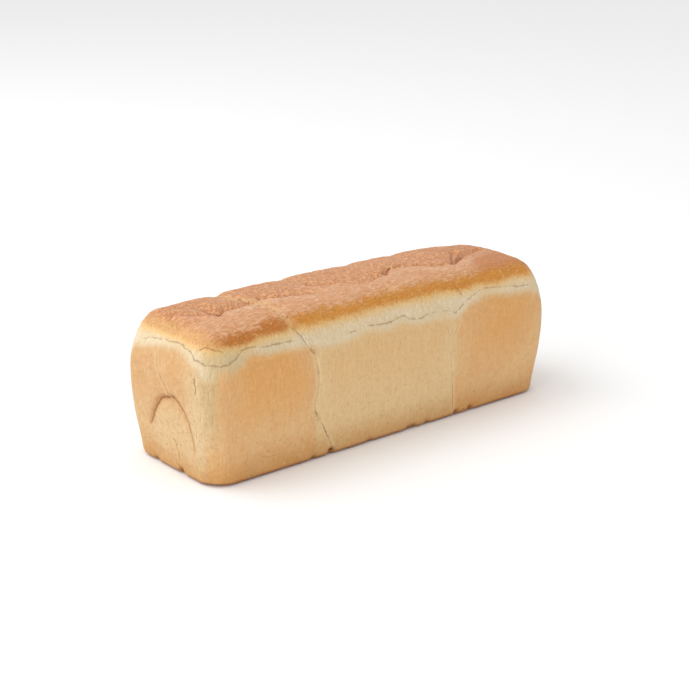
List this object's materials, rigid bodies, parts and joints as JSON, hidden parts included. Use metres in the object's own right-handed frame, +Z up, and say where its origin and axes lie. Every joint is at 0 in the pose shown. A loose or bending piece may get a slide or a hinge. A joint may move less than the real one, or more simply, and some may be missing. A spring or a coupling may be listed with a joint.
{
  "type": "tin loaf",
  "caption": "Long white loaf baked in a deep tin: upright pale-gold sides, a risen brown top in pieces parted by soft seams, and a pale torn line along the rim.",
  "frame": {"origin": "the middle of the loaf's flat base, on the surface it stands on", "axes": "+X along the loaf, +Y from its front side to its back, +Z up"},
  "size_m": [0.3288, 0.107, 0.1117],
  "materials": {
    "crust": "dry baked crust with a faint sheen: toasted brown on top, cream along the rim, pale gold down the sides"
  },
  "bodies": {
    "root": {"loaf": "crust"}
  },
  "joints": []
}
